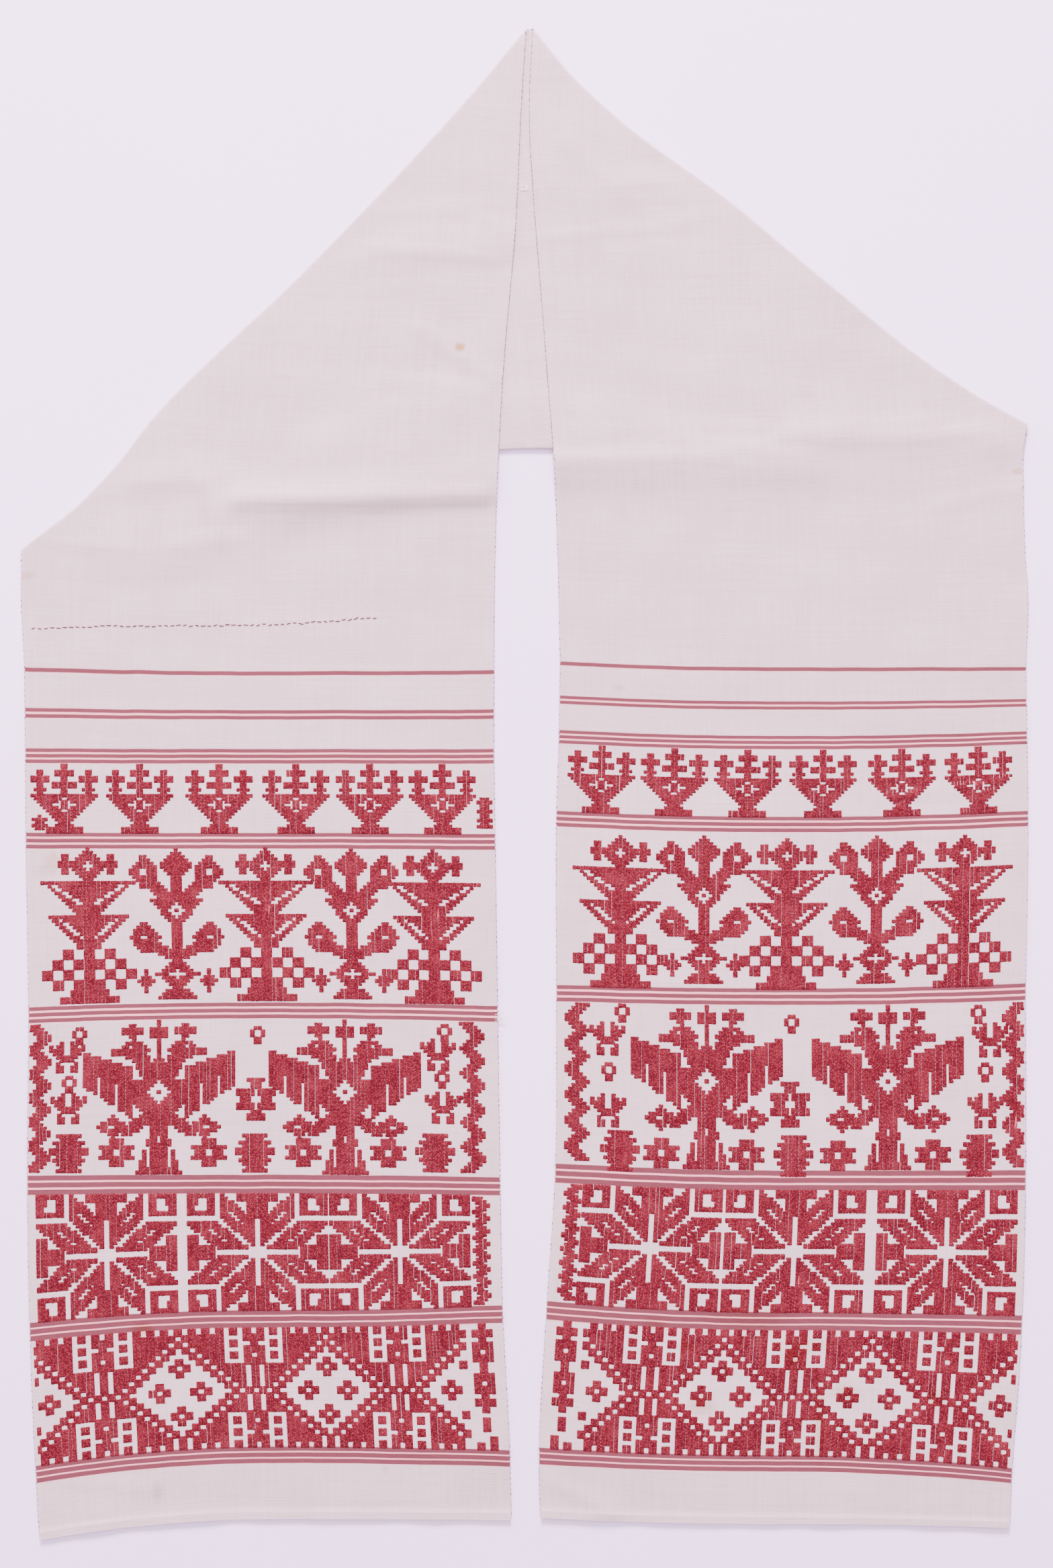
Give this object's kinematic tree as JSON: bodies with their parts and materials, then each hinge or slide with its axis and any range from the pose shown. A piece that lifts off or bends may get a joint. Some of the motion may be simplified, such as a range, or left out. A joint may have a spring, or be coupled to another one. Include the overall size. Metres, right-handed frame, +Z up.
{
  "type": "rushnyk ritual towel",
  "caption": "Long hand-woven linen towel with red brocade ends, lying face up in its hanging shape: both ends side by side below diagonal folds.",
  "frame": {"origin": "under the middle of the box of the laid cloth, on the surface it lies on", "axes": "+Z up from the surface, +Y from the hems towards the point where the two legs meet, +X to the right seen from above"},
  "size_m": [0.8101, 1.2164, 0.0076],
  "materials": {
    "linen": "matt, plain hand weave, slightly slubby",
    "red_weft": "matt soft cotton pattern weft, slightly faded"
  },
  "bodies": {
    "root": {"towel": "linen"}
  },
  "joints": []
}
